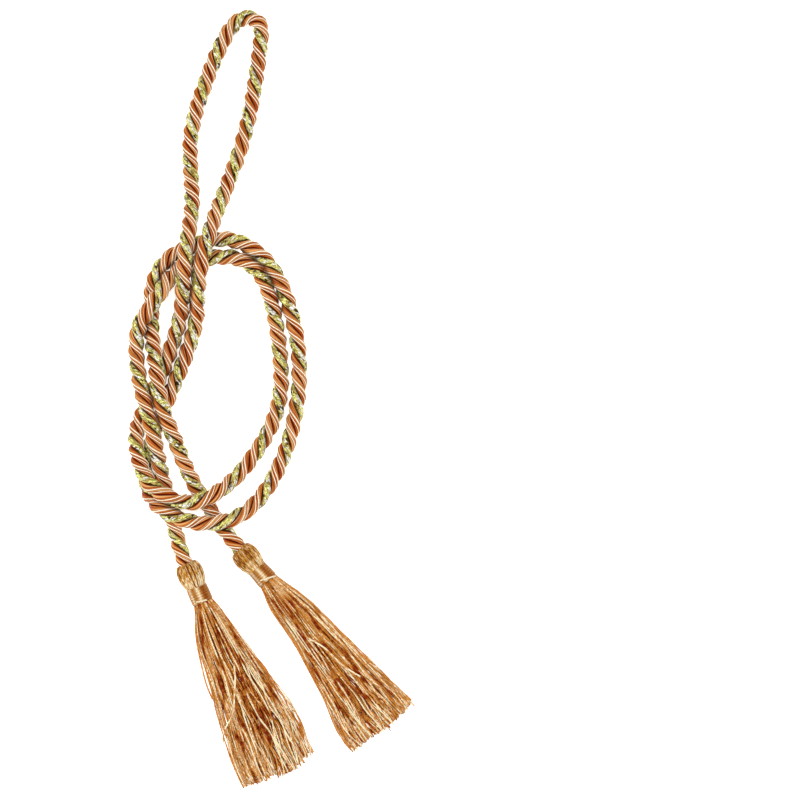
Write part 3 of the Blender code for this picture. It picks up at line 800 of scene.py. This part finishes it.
def makeSkirt(side, tassel):
    # tubes whose middles keep their place in a round bundle, sway on slow waves that grow towards their ends, and
    # are laid down onto the lying outline
    own = np.random.default_rng(tassel["seed"])
    count, stations = skirt["yarns"], skirt["stations"]
    number = np.arange(count) + 0.5
    out = np.sqrt(number / count) * skirt["filled"]
    # sunflower order fills the disc evenly
    angle = number * skirt["goldenAngle"] + own.uniform(-skirt["jitter"], skirt["jitter"], count)
    u0, v0 = out * np.cos(angle), out * np.sin(angle)
    u0 = np.sign(u0) * np.abs(u0) ** skirt["crowding"]
    ends = np.array(tassel["ends"], float)
    length = np.interp(u0, ends[:, 0], ends[:, 1]) * mm - np.abs(own.normal(0, skirt["ragged"], count))
    part = np.linspace(0, 1, stations)
    along = -skirt["root"] + (length[:, None] + skirt["root"]) * part
    phase = own.uniform(0, tau, (6, count, 1))
    swing = own.uniform(0.4, 1.3, (6, count, 1))
    grow = np.clip(along / 0.05, 0.15, 1)
    stray = own.normal(0, skirt["stray"], (count, 1)) * np.clip(along / 0.08, 0, 1) ** 1.4
    calm = 1 - skirt["calmSides"] * np.abs(u0[:, None]) ** 3  # the outermost yarns keep closest together
    u = u0[:, None] + (grow * waves(skirt["sway"], part, phase, swing) + stray) * calm
    v = v0[:, None] + grow * waves(skirt["lift"], part, phase, swing)
    # none leaves the bundle
    far = np.maximum(np.hypot(u, v), 1e-6)
    limit = np.minimum(1, 0.99 / far)
    u, v = u * limit, v * limit
    across, up = layDown(tassel, u, v, along)
    halfWide = own.uniform(*skirt["halfWide"], (count, 1)) * mm + along * 0
    halfThick = own.uniform(*skirt["halfThick"], (count, 1)) * mm + along * 0
    up = np.maximum(up, halfWide * 0.9 + 0.00005)
    centres = placed(tassel, tassel["skirtTurn"], along, across, up)
    sideways, upward = sectionFrames(centres, (0, 0, 1))
    turn = own.uniform(0, tau, (count, 1))
    turn = turn + along / skirt["twistLength"] * own.uniform(0.6, 1.4, (count, 1)) * tau * 0.5
    points = tubePoints(centres, sideways, upward, halfThick, halfWide, skirt["sides"], turn)
    # painted highlight and shade: the outward side of a yarn is lighter and its inner side darker, by the
    # section's direction against the way out of the bundle
    outward = unit(sideways * u[..., None] + upward * v[..., None])
    ridge = np.sum(unit(points - centres[:, :, None]) * outward[:, :, None], axis=-1)
    shade = np.clip(skirtShade(own, tassel, u, v, along, across, phase[5]), 0, 1)[..., None]
    skirtPiece = makePiece(f"skirt_{side}", points, along, tasselYarn, "tassel_yarn", shade=shade,
                           ridge=ridge * np.clip(along / 0.03, 0.35, 1)[..., None])
    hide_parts(f"tassel_{side}")


def makeOverYarns(side, tassel):
    # the few long yarns that lie across the others: tubes along a spline through their points
    for k, places in enumerate(tassel["over"]):
        line = laidOut(np.array(places) * mm, overYarn["spacing"])[1]
        middle = placed(tassel, tassel["skirtTurn"], line[:, 0], line[:, 1], line[:, 2])[None]
        sideways, upward = sectionFrames(middle, (0, 0, 1))
        wide = np.full(middle.shape[:2], overYarn["halfWide"])
        tube = tubePoints(middle, sideways, upward, wide * overYarn["flat"], wide, overYarn["sides"])
        over = makePiece(f"over_yarn_{side}_{k + 1}", tube, line[:, 0], tasselYarn, "tassel_yarn",
                         shade=overYarn["shade"] - overYarn["fade"] * k)
        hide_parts(f"tassel_{side}")


head = {
    "yarns": 80, "stations": 34, "sides": 6, "halfWide": 0.31, "halfThick": 0.24,
    "height": 0.0056,  # of the head's axis over the floor
    "neckEnd": 0.0190,  # from the mouth to the neck's end
    "widest": 0.0056,  # a yarn has its full width where the head has this radius
    "taper": 0.7, "widths": (0.75, 1.1),
    "straying": 0.35,  # how far a yarn may be from its even place, in yarns
    "lean": (0.03, 0.10), "bow": 3, "loose": (-0.16, 0.14),
    "shadeSpread": 0.19,
    # how far along from the mouth, and how far out, in mm: a yarn goes from inside the mouth to under the binding
    "line": [
        (2.4, 3.2), (1.2, 3.25), (0.4, 3.6), (0.6, 4.25), (1.5, 4.85), (2.9, 5.35), (4.7, 5.55), (6.6, 5.45),
        (8.8, 5.0), (10.6, 4.4), (11.8, 4.0), (13.4, 3.7),
    ],
    # painted shade: the core that shows dark between the yarns
    "core": [
        (2.7, 3.0), (1.2, 3.2), (1.0, 4.0), (1.7, 4.5), (2.9, 5.05), (5.0, 5.2), (7.0, 5.1), (8.8, 4.7),
        (10.6, 4.1), (11.8, 3.7), (19.0, 3.5), (22.0, 3.4), (25.0, 2.2),
    ],
    "coreSides": 28, "coreShade": 0.05,
    # painted highlights and shade: brightest where the head narrows, brighter along the near side, darker near the
    # mouth, and a slow wave
    "narrow": (0.30, 0.0098, 0.0022), "near": (0.10, 0.6), "mouth": (0.08, 0.006), "wave": (0.22, 0.0034),
}


def roundAxis(tassel, along, out, angle):
    # a point at a distance out from the head's axis and an angle round it from straight up, and the axis beside it
    across, up = -out * np.sin(angle), head["height"] + out * np.cos(angle)
    turn = tassel["headTurn"]
    return placed(tassel, turn, along, across, up), placed(tassel, turn, along, 0, head["height"])


def makeHeadCore(side, tassel):
    # a profile of distance along and radius, turned about the head's axis
    rows = np.array(head["core"]) * mm
    angle = np.arange(head["coreSides"]) / head["coreSides"] * tau
    points, _ = roundAxis(tassel, rows[:, :1] - head["neckEnd"] + angle * 0, rows[:, 1:], angle)
    lengths = np.arange(len(rows)) * mm
    return makePiece(f"head_core_{side}", points[None], lengths, headYarn, "tassel_yarn", shade=head["coreShade"])


def makeHead(side, tassel):
    # yarns side by side round the head's axis: tubes along one spline of distance along and radius, each leaning
    # and loose by its own amount
    own = np.random.default_rng(tassel["seed"] + 20)
    line = np.array(head["line"]) * mm
    knots = distances(line)
    walk = np.linspace(0, knots[-1], head["stations"])
    along, out = curveThrough(knots, line, walk).T
    count, straying = head["yarns"], head["straying"]
    lean, leaning = head["lean"]
    lean = own.normal(0, leaning, (count, 1)) + lean
    spot = (np.arange(count)[:, None] + own.uniform(-straying, straying, (count, 1))) / count
    angle = spot * tau + lean * np.sin(walk / knots[-1] * head["bow"])
    out = out + own.uniform(*head["loose"], (count, 1)) * mm
    centres, middle = roundAxis(tassel, along - head["neckEnd"], out, angle)
    # the way out is square to the yarn and away from the head's own inside
    ahead = np.gradient(centres, axis=1)
    spoke = unit(centres - middle)
    start, onward = (placed(tassel, tassel["headTurn"], place, 0, 0) for place in (0.0, 1.0))
    axis = onward - start
    slope = np.sum(ahead * spoke, axis=-1, keepdims=True)
    gain = np.sum(ahead * axis, axis=-1, keepdims=True)
    sideways, upward = sectionFrames(centres, unit(spoke * gain - axis * slope))
    wide = head["halfWide"] * mm * (out / head["widest"]) ** head["taper"]
    wide = wide * own.uniform(*head["widths"], (count, 1))
    thick = wide * 0 + head["halfThick"] * mm
    points = tubePoints(centres, sideways, upward, thick, wide, head["sides"])
    size, place, reach = head["narrow"]
    near, turn = head["near"]
    dark, inside = head["mouth"]
    # painted highlight: lighter where the head narrows and along its near side; darker near the mouth
    sheenAndShade = size * np.exp(-((along - place) / reach) ** 2) + near * np.cos(angle + turn)
    sheenAndShade = sheenAndShade - dark * (along < inside)
    size, length = head["wave"]
    sheenAndShade = sheenAndShade + size * np.sin(walk * (tau / length) + own.uniform(0, tau, (count, 1)))
    shade = own.normal(tassel["headShade"], head["shadeSpread"], (count, 1)) + sheenAndShade
    shade = np.clip(shade, 0, 1)[..., None]
    return makePiece(f"head_{side}", points, walk, headYarn, "tassel_yarn", shade=shade)


binding = {
    "turns": 12.5, "start": 0.0115, "end": 0.0187, "thread": 0.00030, "sides": 8, "stations": 620,
    "bulge": 0.0001,
    # painted highlights and shade: places across the neck that shine or are dark: how much, where (-1 to 1), and
    # how broad
    "sheenAndShade": [(0.62, -0.03, 0.2), (0.5, 0.68, 0.13), (-0.38, -0.52, 0.2), (-0.1, 0.36, 0.12)],
    "shade": 0.38, "wave": (0.12, 37),
    # the thread's end: how far it stands out, its half width, its flatness, and how far past its places it runs
    "endOut": 0.0005, "endThread": 0.00036, "endFlat": 0.8, "endPast": (-0.1, 1.06), "endStations": 60,
    "endLength": 0.006, "endShade": 0.95,
}


def wound(name, tassel, places, thread, flat, lengths, shade):
    # a tube of thread through places round the neck, its flat side against the neck
    centres, middle = (line[None] for line in roundAxis(tassel, *places))
    sideways, upward = sectionFrames(centres, centres - middle)
    half = np.full(centres.shape[:2], thread)
    points = tubePoints(centres, sideways, upward, half * flat, half, binding["sides"])
    return makePiece(name, points, lengths, bindingThread, "binding_thread", shade=shade)


def makeBinding(side, tassel):
    # a helix of thread round the neck, bulging a little at its middle, and its end laid slantwise over it
    walk = np.linspace(0, 1, binding["stations"])
    turned = walk * tau * binding["turns"]
    along = binding["start"] + (binding["end"] - binding["start"]) * walk - head["neckEnd"]
    first, last = tassel["bindingRadius"]
    out = (first + (last - first) * walk) * mm + binding["bulge"] * np.sin(walk * math.pi) ** 0.5
    places = np.sin(turned)
    # painted highlight and shade across the neck
    sheenAndShade = sum(size * np.exp(-((places - place) / reach) ** 2) for size, place, reach in binding["sheenAndShade"])
    size, pace = binding["wave"]
    shade = np.clip(binding["shade"] + sheenAndShade + size * np.sin(walk * pace), 0, 1)[None, :, None]
    windings = wound(f"binding_thread_{side}", tassel, (along, out, turned), binding["thread"], 1.0,
                     turned * first * mm, shade)

    # the end goes straight over the neck, so its places across give the angles round
    start, end = (np.array(point) * mm for point in tassel["crossing"])
    radius = last * mm + binding["endOut"]
    walk = np.linspace(*binding["endPast"], binding["endStations"])
    low, high = np.arcsin(np.clip([start[1] / radius, end[1] / radius], -0.99, 0.99))
    places = start[0] + (end[0] - start[0]) * walk, radius, -(low + (high - low) * walk)
    slanting = wound(f"binding_end_{side}", tassel, places, binding["endThread"], binding["endFlat"],
                     walk * binding["endLength"], binding["endShade"])
    return windings, slanting


bindingColours = {"dark": (0.29, 0.065, 0.006), "middle": (0.53, 0.24, 0.05), "light": (0.95, 0.83, 0.57)}
tasselYarn = yarnFinish("tasselYarn", tasselColours)
headYarn = yarnFinish("headYarn", headColours)
bindingThread = yarnFinish("bindingThread", bindingColours)
for side, tassel in tassels.items():
    makeSkirt(side, tassel)
    makeOverYarns(side, tassel)
    for piece in (makeHead(side, tassel), makeHeadCore(side, tassel)):
        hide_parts(f"tassel_{side}")
    for piece in makeBinding(side, tassel):
        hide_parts(f"binding_{side}")
    print(f"{side} tassel made")
